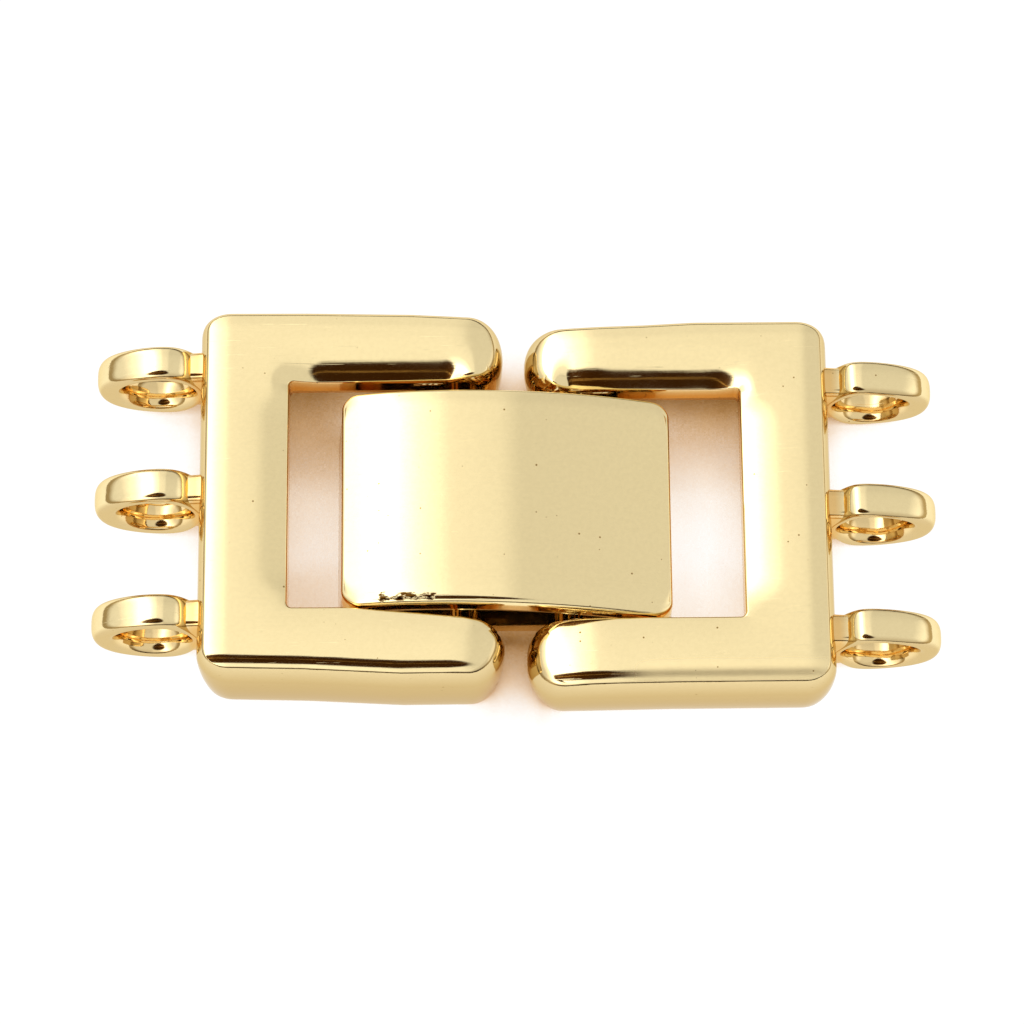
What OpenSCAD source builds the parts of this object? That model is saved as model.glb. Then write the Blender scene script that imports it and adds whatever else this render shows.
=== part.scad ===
// Three-strand fold over clasp. X runs along the clasp from frame to frame, Y across
// the strands and Z up. The origin is on the surface that the clasp lies on, under the
// gap between the two frames.

/* [Frames] */
// Distance from the middle of the clasp to the outer wall of each frame
frame_reach = 12.15; // [11.5:0.05:13]
// Width of each frame across the strands
frame_w = 14.5; // [14:0.1:16]
// Height of the frame on the latch side
left_h = 4.4; // [4:0.1:5]
// Height of the frame on the hinge side
right_h = 3.8; // [3.8:0.1:4.4]
// Gap between the free ends of the two frames
end_gap = 0.9; // [0.8:0.1:1.4]
// Length of the window from the middle of the clasp to the spine
window_reach = 8.7; // [8.4:0.05:9]
// Width of the window between the two arms
window_w = 9.34; // [9.2:0.02:9.6]
// Height of the inner walls, above the hollow underside
skin_h = 1.5; // [1.2:0.1:1.8]
// Thickness of the outer walls beside the hollow underside
wall_t = 1.0; // [0.8:0.1:1.3]
// Radius of the long top edges
top_round = 0.7; // [0.4:0.1:0.9]
// Radius of the top and bottom edges at the free ends
end_round = 1.2; // [1.1:0.1:1.3]
// Sideways play on the bars that each frame has taken up, as it lies
side_play = 0.15; // [0:0.05:0.2]

/* [Loops] */
// Number of loops on each frame, one for each strand
loop_count = 3; // [1:3]
// Distance between the loops
loop_pitch = 5.05; // [4.9:0.05:5.2]
// Outer diameter of the loops on the latch side
left_loop_d = 4.2; // [3.8:0.1:4.4]
// Outer diameter of the loops on the hinge side
right_loop_d = 3.8; // [3.7:0.1:3.8]
// Diameter of the hole in each loop
loop_hole = 2.6; // [2:0.1:2.7]
// Width of each loop along its hole
loop_w = 1.3; // [1:0.1:1.6]
// Distance from the middle of the clasp to the tip of the loops
loop_reach = 16.25; // [16.2:0.05:16.4]

/* [Clip] */
// Length of the cover along the clasp
cover_len = 13.05; // [12.8:0.05:13.2]
// Width of the cover
cover_w = 8.7; // [8:0.1:8.8]
// Thickness of the cover at its two ends
cover_edge = 0.75; // [0.6:0.05:0.9]
// Height of the cover's arched top above its ends
cover_rise = 1.1; // [0.6:0.1:1.3]
// Height of the cover's top edge at the latch end
cover_left_z = 4.3; // [4.2:0.05:4.4]
// Height of the cover's top edge at the hinge end
cover_right_z = 3.45; // [3.4:0.05:3.6]
// Thickness of the leaf under the bars
leaf_t = 0.65; // [0.5:0.05:0.7]
// Width of the leaf
leaf_w = 8.3; // [7.8:0.1:8.4]

/* [Bars and pin] */
// Diameter of the bar across each frame
bar_d = 1.1; // [1:0.05:1.2]
// Distance of each bar from the middle of the clasp
bar_x = 2.0; // [1.9:0.05:2.2]
// Height of both bars
bar_z = 1.4; // [1.35:0.05:1.5]
// Diameter of the cover's hinge pin
pin_d = 0.7; // [0.6:0.05:0.8]
// Running gap around a bar or pin that turns
run_gap = 0.06; // [0.04:0.01:0.08]
// Gap around a bar or pin that is fixed in its holes
seat_gap = 0.02; // [0.01:0.01:0.03]

/* [Hidden] */
$fn = 96;
gold = [0.98, 0.87, 0.60];
through = 1;

// Frames
free_end = end_gap / 2;
plan_round = 0.6;
window_round = 0.35;
foot_round = 0.2;
boss_len = 3.2;
bar_seat = 1.6;
bar_hole_end = window_w / 2 + bar_seat;

// Loops
hole_x = 13.85;
neck_w = 1.1;
crown_r = 1.6;

// Clip, seen from the side with the latch at -X and the hinge at +X
cover_mid_x = -0.38;
cover_tilt = atan((cover_left_z - cover_right_z) / cover_len);
cover_mid_z = (cover_left_z + cover_right_z) / 2 - cover_edge;
cover_r = (pow(cover_len / 2, 2) + pow(cover_rise, 2)) / (2 * cover_rise);
cover_x0 = cover_mid_x - cover_len / 2;
cover_x1 = cover_mid_x + cover_len / 2;
cover_corner = 0.5;
lip_t = 0.5;
lip_z = 0.35;
lip_gap = 0.15;
pin_x = 4.8;
pin_z = 1.55;
knuckle_r = 0.75;
knuckle_in = 1.5;
knuckle_gap = 0.1;
knuckle_leg = 0.65;
pin_half = 4.0;
leaf_x0 = cover_x0 + lip_t + lip_gap;
leaf_x1 = pin_x - knuckle_r + knuckle_leg;
leaf_round = 0.5;
hinge_round = 0.2;
eye_wall = 0.4;
eye_r = bar_d / 2 + run_gap + eye_wall;
eye_half = 3.0;
cradle_top = 2.3;

// A flat outline with round corners, of one radius at its low X end and one at the other
module rounded(x0, x1, y0, y1, r0, r1) {
    translate([x0 + r0, y0]) square([x1 - x0 - r0 - r1, y1 - y0]);
    translate([x0, y0 + r0]) square([r0, y1 - y0 - 2 * r0]);
    translate([x1 - r1, y0 + r1]) square([r1, y1 - y0 - 2 * r1]);
    for (y = [y0 + r0, y1 - r0]) translate([x0 + r0, y]) circle(r0);
    for (y = [y0 + r1, y1 - r1]) translate([x1 - r1, y]) circle(r1);
}

// A side view drawn in X and Z, made solid across the width from -half to half
module across(half) {
    translate([0, half, 0]) rotate([90, 0, 0]) linear_extrude(2 * half) children();
}

// A round bar along Y through the side view's point x, z
module rod(x, z, d, half) {
    translate([x, half, z]) rotate([90, 0, 0]) cylinder(h = 2 * half, d = d);
}

// Frame

// Side view of a frame: round free end, lightly rounded outer wall
module frame_side(h) {
    rounded(free_end, frame_reach - top_round, 0, h, end_round, foot_round);
    translate([frame_reach - 2 * top_round, 0]) square([2 * top_round, h - top_round]);
    translate([frame_reach - top_round, h - top_round]) circle(top_round);
}

// End view of a frame, in Y and Z, with round top edges
module frame_end(h) {
    half = frame_w / 2;
    translate([-half, 0]) square([frame_w, h - top_round]);
    translate([top_round - half, 0]) square([frame_w - 2 * top_round, h]);
    for (s = [-1, 1]) translate([s * (half - top_round), h - top_round]) circle(top_round);
}

// One loop with its short neck, cut flat where it is soldered to the outer wall
module loop(h, d) {
    z = h - d / 2;
    x = loop_reach - d / 2;
    difference() {
        union() {
            translate([x, 0, z]) rotate([90, 0, 0]) rotate_extrude()
                intersection() {
                    translate([0, -loop_w / 2]) square([d / 2, loop_w]);
                    translate([d / 2 - crown_r, 0]) circle(crown_r);
                }
            translate([frame_reach, -neck_w / 2, z - d / 4])
                cube([hole_x - frame_reach, neck_w, d / 2]);
        }
        rod(hole_x, z, loop_hole, loop_w);
        translate([frame_reach - d, -loop_w, -through]) cube([d, 2 * loop_w, h + 2 * through]);
    }
}

// A whole frame on the +X side
module frame(h) {
    difference() {
        intersection() {
            across(frame_w / 2) frame_side(h);
            rotate([90, 0, 90]) linear_extrude(frame_reach) frame_end(h);
            linear_extrude(h) rounded(free_end, frame_reach, -frame_w / 2, frame_w / 2,
                                      end_round, plan_round);
        }
        translate([0, 0, -through]) linear_extrude(h + 2 * through)
            rounded(-window_round, window_reach, -window_w / 2, window_w / 2,
                    window_round, window_round);
        translate([free_end + boss_len, wall_t - frame_w / 2, -through])
            cube([frame_reach - wall_t - free_end - boss_len, frame_w - 2 * wall_t,
                  h - skin_h + through]);
        rod(bar_x, bar_z, bar_d + 2 * seat_gap, bar_hole_end);
    }
}

// The loops of a frame, in a row along its outer wall
module loops(h, d) {
    for (i = [0 : loop_count - 1])
        translate([0, (i - (loop_count - 1) / 2) * loop_pitch, 0]) loop(h, d);
}

module left_frame() {
    color(gold) translate([0, side_play, 0]) mirror([1, 0, 0]) frame(left_h);
}

module right_frame() {
    color(gold) translate([0, -side_play, 0]) frame(right_h);
}

module left_loops() {
    color(gold) translate([0, side_play, 0]) mirror([1, 0, 0]) loops(left_h, left_loop_d);
}

module right_loops() {
    color(gold) translate([0, -side_play, 0]) loops(right_h, right_loop_d);
}

// Bars, seated in blind holes in the arms
module bar(side) {
    color(gold) translate([0, -side * side_play, 0])
        rod(side * bar_x, bar_z, bar_d, bar_hole_end - seat_gap);
}

module left_bar() { bar(-1); }
module right_bar() { bar(1); }

// Clip base: the leaf, the open cradle of the left bar, the closed eye of the right bar
// and the two fixed knuckles of the hinge
module clip_base() {
    bore = bar_d + 2 * run_gap;
    color(gold) difference() {
        union() {
            linear_extrude(leaf_t) rounded(leaf_x0, leaf_x1, -leaf_w / 2, leaf_w / 2,
                                          leaf_round, hinge_round);
            for (x = [-bar_x, bar_x])
                translate([x - eye_r, -eye_half, 0]) cube([2 * eye_r, 2 * eye_half, bar_z]);
            rod(bar_x, bar_z, 2 * eye_r, eye_half);
            translate([-bar_x - eye_r, -eye_half, 0]) cube([eye_wall, 2 * eye_half, cradle_top]);
            for (y = [-pin_half, knuckle_in])
                translate([0, y + (pin_half - knuckle_in) / 2, 0]) {
                    rod(pin_x, pin_z, 2 * knuckle_r, (pin_half - knuckle_in) / 2);
                    translate([pin_x - knuckle_r, (knuckle_in - pin_half) / 2, 0])
                        cube([knuckle_leg, pin_half - knuckle_in, pin_z]);
                }
        }
        for (x = [-bar_x, bar_x]) rod(x, bar_z, bore, leaf_w);
        translate([-bar_x - bore / 2, -leaf_w, bar_z]) cube([bore, 2 * leaf_w, cradle_top]);
        rod(pin_x, pin_z, pin_d + 2 * seat_gap, leaf_w);
    }
}

// Clip cover: arched plate, the lip that snaps over the leaf's end, and the skirt and
// knuckle at the hinge
module cover_plate_side() {
    translate([cover_mid_x, cover_mid_z]) rotate(-cover_tilt) intersection() {
        translate([-cover_len, 0]) square([2 * cover_len, cover_edge + cover_rise]);
        translate([0, cover_edge + cover_rise - cover_r]) circle(cover_r, $fn = 360);
    }
}

module clip_cover() {
    plate_z = [cover_left_z - cover_edge / 2, cover_right_z - cover_edge / 2];
    color(gold) difference() {
        union() {
            intersection() {
                union() {
                    across(cover_w / 2) cover_plate_side();
                    translate([cover_x0, -cover_w / 2, lip_z])
                        cube([lip_t, cover_w, plate_z[0] - lip_z]);
                    translate([cover_x1 - lip_t, -cover_w / 2, pin_z])
                        cube([lip_t, cover_w, plate_z[1] - pin_z]);
                }
                linear_extrude(cover_left_z + cover_rise + through)
                    rounded(cover_x0, cover_x1, -cover_w / 2, cover_w / 2,
                            cover_corner, cover_corner);
            }
            rod(pin_x, pin_z, 2 * knuckle_r, knuckle_in - knuckle_gap);
            translate([pin_x, knuckle_gap - knuckle_in, pin_z])
                cube([cover_x1 - lip_t / 2 - pin_x, 2 * (knuckle_in - knuckle_gap), knuckle_r]);
        }
        rod(pin_x, pin_z, pin_d + 2 * run_gap, knuckle_in);
    }
}

module hinge_pin() {
    color(gold) rod(pin_x, pin_z, pin_d, pin_half);
}

left_frame();
right_frame();
left_loops();
right_loops();
left_bar();
right_bar();
clip_base();
clip_cover();
hinge_pin();
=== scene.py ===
import math
import bmesh
import bpy
import numpy as np
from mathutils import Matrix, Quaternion, Vector


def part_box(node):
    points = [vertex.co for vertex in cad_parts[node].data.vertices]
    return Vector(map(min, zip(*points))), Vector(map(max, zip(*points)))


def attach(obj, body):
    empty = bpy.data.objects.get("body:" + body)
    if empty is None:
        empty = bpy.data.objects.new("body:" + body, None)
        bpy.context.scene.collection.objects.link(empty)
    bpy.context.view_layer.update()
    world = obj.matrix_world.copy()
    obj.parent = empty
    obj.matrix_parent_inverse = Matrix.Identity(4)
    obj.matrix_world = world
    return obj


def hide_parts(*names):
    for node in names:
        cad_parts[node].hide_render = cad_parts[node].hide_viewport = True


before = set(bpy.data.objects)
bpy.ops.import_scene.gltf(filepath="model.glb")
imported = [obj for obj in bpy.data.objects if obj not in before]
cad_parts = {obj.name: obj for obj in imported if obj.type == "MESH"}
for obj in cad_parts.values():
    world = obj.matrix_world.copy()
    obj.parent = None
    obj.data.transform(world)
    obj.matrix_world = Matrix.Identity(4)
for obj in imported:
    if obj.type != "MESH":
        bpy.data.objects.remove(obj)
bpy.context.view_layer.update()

# the dictionaries hold millimetres, and the scene is in metres
mm = 0.001


def toLinear(hexColour):
    parts = [int(hexColour[i:i + 2], 16) / 255 for i in (1, 3, 5)]
    return tuple(c / 12.92 if c <= 0.04045 else ((c + 0.055) / 1.055) ** 2.4 for c in parts) + (1.0,)


def addNode(tree, kind, inputs=None, stops=(), **settings):
    # stops are the places and colours of a ramp
    node = tree.nodes.new(kind)
    for key, value in settings.items():
        setattr(node, key, value)
    for key, value in (inputs or {}).items():
        if isinstance(value, bpy.types.NodeSocket):
            tree.links.new(value, node.inputs[key])
        else:
            node.inputs[key].default_value = value
    for i, (at, colour) in enumerate(stops):
        spots = node.color_ramp.elements
        if i == 0:
            spots.remove(spots[1])
        spot = spots.new(at) if i else spots[0]
        spot.position, spot.color = at, colour
    return node


def addObject(name, data):
    made = bpy.data.objects.new(name, data)
    bpy.context.scene.collection.objects.link(made)
    return made


def smooth(a, b, x):
    t = np.clip((np.asarray(x, float) - a) / (b - a), 0, 1)
    return t * t * (3 - 2 * t)


def addSheet(verts, faces, xy, z):
    # a grid of points with a face in each cell
    rows, cols = z.shape
    ids = len(verts) + np.arange(rows * cols).reshape(rows, cols)
    verts.extend(np.c_[xy.reshape(-1, 2), z.ravel()])
    for i in range(rows - 1):
        for j in range(cols - 1):
            faces.append((ids[i, j], ids[i, j + 1], ids[i + 1, j + 1], ids[i + 1, j]))


def addRing(verts, points):
    # the points of a ring; hands back their numbers
    ids = np.arange(len(verts), len(verts) + len(points))
    verts.extend(points)
    return ids


def joinRings(faces, rings):
    # a closed band of faces from each ring to the next
    for upper, lower in zip(rings[:-1], rings[1:]):
        for i in range(len(upper)):
            j = (i + 1) % len(upper)
            faces.append((upper[i], upper[j], lower[j], lower[i]))


def takeShape(holder):
    # the form that an object's modifiers give, in millimetres; the object itself goes
    mesh = bpy.data.meshes.new_from_object(holder.evaluated_get(bpy.context.evaluated_depsgraph_get()))
    verts, faces = [v.co / mm for v in mesh.vertices], [tuple(p.vertices) for p in mesh.polygons]
    holder.modifiers.clear()
    bpy.data.objects.remove(holder)
    bpy.data.meshes.remove(mesh)
    return verts, faces


def makeObject(name, verts, faces, material, body, node=None, marks=None):
    # merges doubles, drops what they flatten, turns faces outward and hands the piece to its body;
    # marks are named values at the points, which the material reads
    mesh = bpy.data.meshes.new(name)
    bm = bmesh.new()
    layers = {key: bm.verts.layers.float.new(key) for key in marks or {}}
    made = [bm.verts.new(Vector(v) * mm) for v in verts]
    for key, layer in layers.items():
        for vert, value in zip(made, marks[key]):
            vert[layer] = float(value)
    for face in faces:
        try:
            bm.faces.new([made[i] for i in face])
        except ValueError:
            pass  # the face is there already
    weld, sliver = 2e-7, 1e-7
    bmesh.ops.remove_doubles(bm, verts=bm.verts, dist=weld)
    bmesh.ops.dissolve_degenerate(bm, edges=bm.edges, dist=sliver)
    loose = [v for v in bm.verts if not v.link_faces]
    bmesh.ops.delete(bm, geom=loose, context="VERTS")
    bmesh.ops.recalc_face_normals(bm, faces=bm.faces)
    for face in bm.faces:
        face.smooth = True
    bm.to_mesh(mesh)
    bm.free()
    piece = addObject(name, mesh)
    mesh.materials.append(material)
    if body:
        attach(piece, body)
    if node:
        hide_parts(node)
    print(name, len(mesh.polygons), "faces")
    return piece


# the camera of the photo, fitted to points of the clasp: angles in degrees, focal length in its pixels
photo = dict(elevation=70.29, azimuth=-0.62, roll=0.157, distance=160.9, target=(-0.136, -0.010, 2.15),
             focalPixels=4164.3, pixels=1024, sensor=36, clipMetres=(0.01, 10))


def setCamera():
    f = photo
    up, turn, roll = (math.radians(f[key]) for key in ("elevation", "azimuth", "roll"))
    back = Vector((math.sin(turn) * math.cos(up), -math.cos(turn) * math.cos(up), math.sin(up)))
    data = bpy.data.cameras.new("photoCamera")
    data.sensor_width = f["sensor"]
    data.lens = f["focalPixels"] / f["pixels"] * f["sensor"]
    data.clip_start, data.clip_end = f["clipMetres"]
    camera = addObject("photoCamera", data)
    camera.rotation_mode = "QUATERNION"
    camera.rotation_quaternion = (-back).to_track_quat("-Z", "Y") @ Quaternion((0, 0, 1), roll)
    camera.location = (Vector(f["target"]) + back * f["distance"]) * mm
    bpy.context.scene.camera = camera


tableLook = dict(
    size=420, top=-0.02, light=1.04, unlit=0.02, rough=0.9, gloss=0.1, cloudScale=120, cloudDepth=0.03,
    # how far gold throws painted shade on the table, and the two ways that the open sky is felt for
    reach=5.0, skyWays=((-0.6, 0, 0.8), (0.6, 0, 0.8)), skySamples=12,
    # painted light and shade by place: from and to in mm, then what is added there; slotX only scales slotY
    front=(-3.6, 6.0, 0.09, -0.10), outside=(11.0, 13.0, 0.0, 0.16), slotX=(0.9, 2.2, 1.0, 0.0),
    slotY=(-4.6, -3.6, -0.22, 0.0),
    # painted shade and painted warm light from the gold, by how much open sky a spot has, from shut in by gold to open
    paintedTableShade=[(0.02, "#5E3A10"), (0.08, "#83531C"), (0.12, "#A97435"), (0.18, "#BF9560"), (0.25, "#D8B48C"),
          (0.32, "#E6C8A8"), (0.38, "#F8E2CA"), (0.43, "#FFF5E8"), (0.47, "#FFFFFF")])


def setFloor():
    # opal acrylic light table, matt: it glows evenly, so there are no cast shadows; where gold stands close
    # round it, its glow is painted darker and warmer, as painted shade and painted light bounced off the gold
    f = tableLook
    acrylic = bpy.data.materials.new("Opal acrylic light table, matt")
    acrylic.use_nodes = True
    tree = acrylic.node_tree
    shader = tree.nodes["Principled BSDF"]
    place = addNode(tree, "ShaderNodeTexCoord").outputs["Object"]
    cloud = addNode(tree, "ShaderNodeTexNoise", {"Vector": place, "Scale": f["cloudScale"], "Detail": 3})
    # the light comes from the left and the right, and the more open of the two counts
    skies = [addNode(tree, "ShaderNodeAmbientOcclusion", {"Distance": f["reach"] * mm, "Normal": way},
                     samples=f["skySamples"]).outputs["AO"] for way in f["skyWays"]]
    sky = addNode(tree, "ShaderNodeMath", {0: skies[0], 1: skies[1]}, operation="MAXIMUM")
    # besides, painted light brightens it towards the front and outside, and painted shade dims it in the slot between
    # the halves
    spot = addNode(tree, "ShaderNodeSeparateXYZ", {0: place}).outputs
    aside = addNode(tree, "ShaderNodeMath", {0: spot[0]}, operation="ABSOLUTE").outputs[0]
    front, outside, slotX, slotY = (
        addNode(tree, "ShaderNodeMapRange", {
            "Value": value, "From Min": a * mm, "From Max": b * mm, "To Min": start, "To Max": finish}).outputs[0]
        for value, (a, b, start, finish) in ((spot[1], f["front"]), (aside, f["outside"]), (aside, f["slotX"]),
                                             (spot[1], f["slotY"])))
    slot = addNode(tree, "ShaderNodeMath", {0: slotX, 1: slotY, 2: front}, operation="MULTIPLY_ADD")
    clear = addNode(tree, "ShaderNodeMath", {0: slot.outputs[0], 1: outside}, operation="ADD")
    clear = addNode(tree, "ShaderNodeMath", {0: sky.outputs[0], 1: clear.outputs[0]}, operation="ADD")
    clear = addNode(tree, "ShaderNodeMath", {0: cloud.outputs["Fac"], 1: f["cloudDepth"], 2: clear.outputs[0]},
                    operation="MULTIPLY_ADD")
    # painted shade: the table's colour darkens and warms where gold shuts out the sky
    paintedTableShade = addNode(tree, "ShaderNodeValToRGB", {"Fac": clear.outputs[0]},
                   stops=[(at, toLinear(colour)) for at, colour in f["paintedTableShade"]])
    tree.links.new(paintedTableShade.outputs[0], shader.inputs["Emission Color"])
    for key, value in (("Emission Strength", f["light"]), ("Base Color", (f["unlit"],) * 3 + (1,)),
                       ("Roughness", f["rough"]), ("Specular IOR Level", f["gloss"])):
        shader.inputs[key].default_value = value
    half, z = f["size"] / 2, f["top"]
    corners = [(-half, -half, z), (half, -half, z), (half, half, z), (-half, half, z)]
    makeObject("floor", corners, [(0, 1, 2, 3)], acrylic, None)


studio = dict(
    # brightness of the tent by direction from left (-1) to right (+1), as the gold mirrors it
    tent=[(-1.0, 0.80), (-0.8, 0.92), (-0.62, 1.5), (-0.45, 2.9), (-0.34, 2.9), (-0.22, 1.7), (-0.09, 1.07),
          (0.10, 0.99), (0.18, 0.79), (0.75, 0.80), (0.9, 1.15), (1.0, 1.15)],
    # its back wall by direction along Y, and the plain wall that shows behind the clasp
    backWall=0.90, backFrom=(0.30, 0.55), backdrop=0.9,
    # the lens over the front, with a thin ring in it
    lensWay=(-0.14, -0.50, 0.866), lensSize=(0.33, 0.40, 0.40), lensEdge=(0.86, 1.06), lensColour="#341C03",
    ringAt=-0.45, ringHalf=0.012, ringColour="#8A6A3C",
    # the room at the horizon, and where it turns paler towards the sides
    horizon=(0.15, 0.34), roomColour="#473519", sideFrom=(0.35, 0.75), sideColour="#B3A283",
    # the softbox, in metres and watts
    boxPlace=(-0.1, 0.15, 0.35), boxSize=0.5, boxPower=0.5)


def setStudio():
    # a white tent: brighter on the left, greyer on the right, with the dark lens above the front
    f = studio
    world = bpy.data.worlds.new("studioTent")
    bpy.context.scene.world = world
    world.use_nodes = True
    tree = world.node_tree
    tree.nodes.clear()
    way = addNode(tree, "ShaderNodeTexCoord").outputs["Generated"]
    along, depth, up = addNode(tree, "ShaderNodeSeparateXYZ", {0: way}).outputs
    side = addNode(tree, "ShaderNodeMapRange", {"Value": along, "From Min": -1, "From Max": 1})
    # a ramp holds nothing above 1, so the brightest level is taken out and put back
    top = max(level for at, level in f["tent"])
    ramp = addNode(tree, "ShaderNodeValToRGB", {"Fac": side.outputs[0]},
                   stops=[((at + 1) / 2, (level / top,) * 3 + (1,)) for at, level in f["tent"]])
    tent = addNode(tree, "ShaderNodeMath", {0: ramp.outputs[0], 1: top}, operation="MULTIPLY")
    aside = addNode(tree, "ShaderNodeMath", {0: along}, operation="ABSOLUTE").outputs[0]
    away = addNode(tree, "ShaderNodeVectorMath", {0: way, 1: f["lensWay"]}, operation="SUBTRACT")
    squash = addNode(tree, "ShaderNodeVectorMath", {0: away.outputs[0], 1: f["lensSize"]}, operation="DIVIDE")
    far = addNode(tree, "ShaderNodeVectorMath", {0: squash.outputs[0]}, operation="LENGTH").outputs["Value"]
    back, pastLens, aboveRoom, sideways = (
        addNode(tree, "ShaderNodeMapRange", {
            "Value": value, "From Min": a, "From Max": b, "To Min": start, "To Max": finish}).outputs[0]
        for value, (a, b), start, finish in ((depth, f["backFrom"], 1, f["backWall"]), (far, f["lensEdge"], 0, 1),
                                             (up, f["horizon"], 0, 1), (aside, f["sideFrom"], 0, 1)))
    level = addNode(tree, "ShaderNodeMath", {0: tent.outputs[0], 1: back}, operation="MULTIPLY")
    ring = addNode(tree, "ShaderNodeMath", {0: depth, 1: f["ringAt"], 2: f["ringHalf"]}, operation="COMPARE")
    # only the gold mirrors the lens and the room; behind the clasp the tent is plain
    seen = addNode(tree, "ShaderNodeLightPath").outputs["Is Camera Ray"]
    looks = {key: toLinear(f[key]) for key in ("lensColour", "ringColour", "roomColour", "sideColour")}
    looks["white"] = (1, 1, 1, 1)
    for name, share, a, b in (
            ("lens", ring.outputs[0], "lensColour", "ringColour"), ("room", sideways, "roomColour", "sideColour"),
            ("tent", pastLens, "lens", "white"), ("mirrored", aboveRoom, "room", "tent"),
            ("shown", seen, "mirrored", "white")):
        mix = addNode(tree, "ShaderNodeMix", {0: share, 6: looks[a], 7: looks[b]}, data_type="RGBA")
        looks[name] = mix.outputs[2]
    level = addNode(tree, "ShaderNodeMix", {0: seen, 2: level.outputs[0], 3: f["backdrop"]})
    shine = addNode(tree, "ShaderNodeBackground", {"Color": looks["shown"], "Strength": level.outputs[0]})
    addNode(tree, "ShaderNodeOutputWorld", {"Surface": shine.outputs[0]})
    # a large softbox over the tent; the gold mirrors the tent and not the lamp
    data = bpy.data.lights.new("softbox", "AREA")
    data.shape, data.size, data.energy = "DISK", f["boxSize"], f["boxPower"]
    lamp = addObject("softbox", data)
    lamp.location = f["boxPlace"]
    lamp.rotation_mode = "QUATERNION"
    lamp.rotation_quaternion = (-lamp.location).to_track_quat("-Z", "Y")
    lamp.visible_glossy = False
    bpy.context.scene.view_settings.view_transform = "Standard"


setCamera()
setFloor()
setStudio()
print("camera, floor and studio are set")


goldLook = dict(
    # the polished face; painted shade for the walls, which the mottle also takes as the plating's own duller tone;
    # painted shade and painted warm bounce for hollows and undersides; casting pits, a struck burr and the grazing
    # tint
    face="#FBE6AF", wall="#C1A26C", paintedShade="#EFB458", pit="#9A7434", scuff="#4A2E0A", grazing="#F3E8CE",
    # roughness of the best and the least polished spots, their size, and what brushing adds
    smooth=0.06, dull=0.12, spotMm=2.2, spotRange=(0.3, 0.7), brushed=0.30,
    # relief: grain along X, Y and Z, detail and roughness of the noise, and height
    relief=dict(wave=((0.9, 0.9, 0.9), 2, 0.5, 0.0016), ripple=((0.17, 0.17, 0.17), 3, 0.6, 0.0006),
                streak=((3.0, 0.08, 0.08), 3, 0.5, 0.0013)),
    mottle=(0.35, 0.65, 0.06), pitMm=0.40, pitSize=0.05, pitsFrom=0.55,
    chipMm=0.3, chipStretch=(0.6, 1.8, 1.8), chipTurn=-0.35, chipRough=0.65, struckShare=0.5, torn=(0.96, 1.03),
    scratchMm=(2.6, 0.05, 2.6), scratchTurn=0.5, scratchRange=(0.70, 0.76), scratchDepth=0.003,
    scratchStrength=0.6, burrDepth=4.0)


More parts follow.
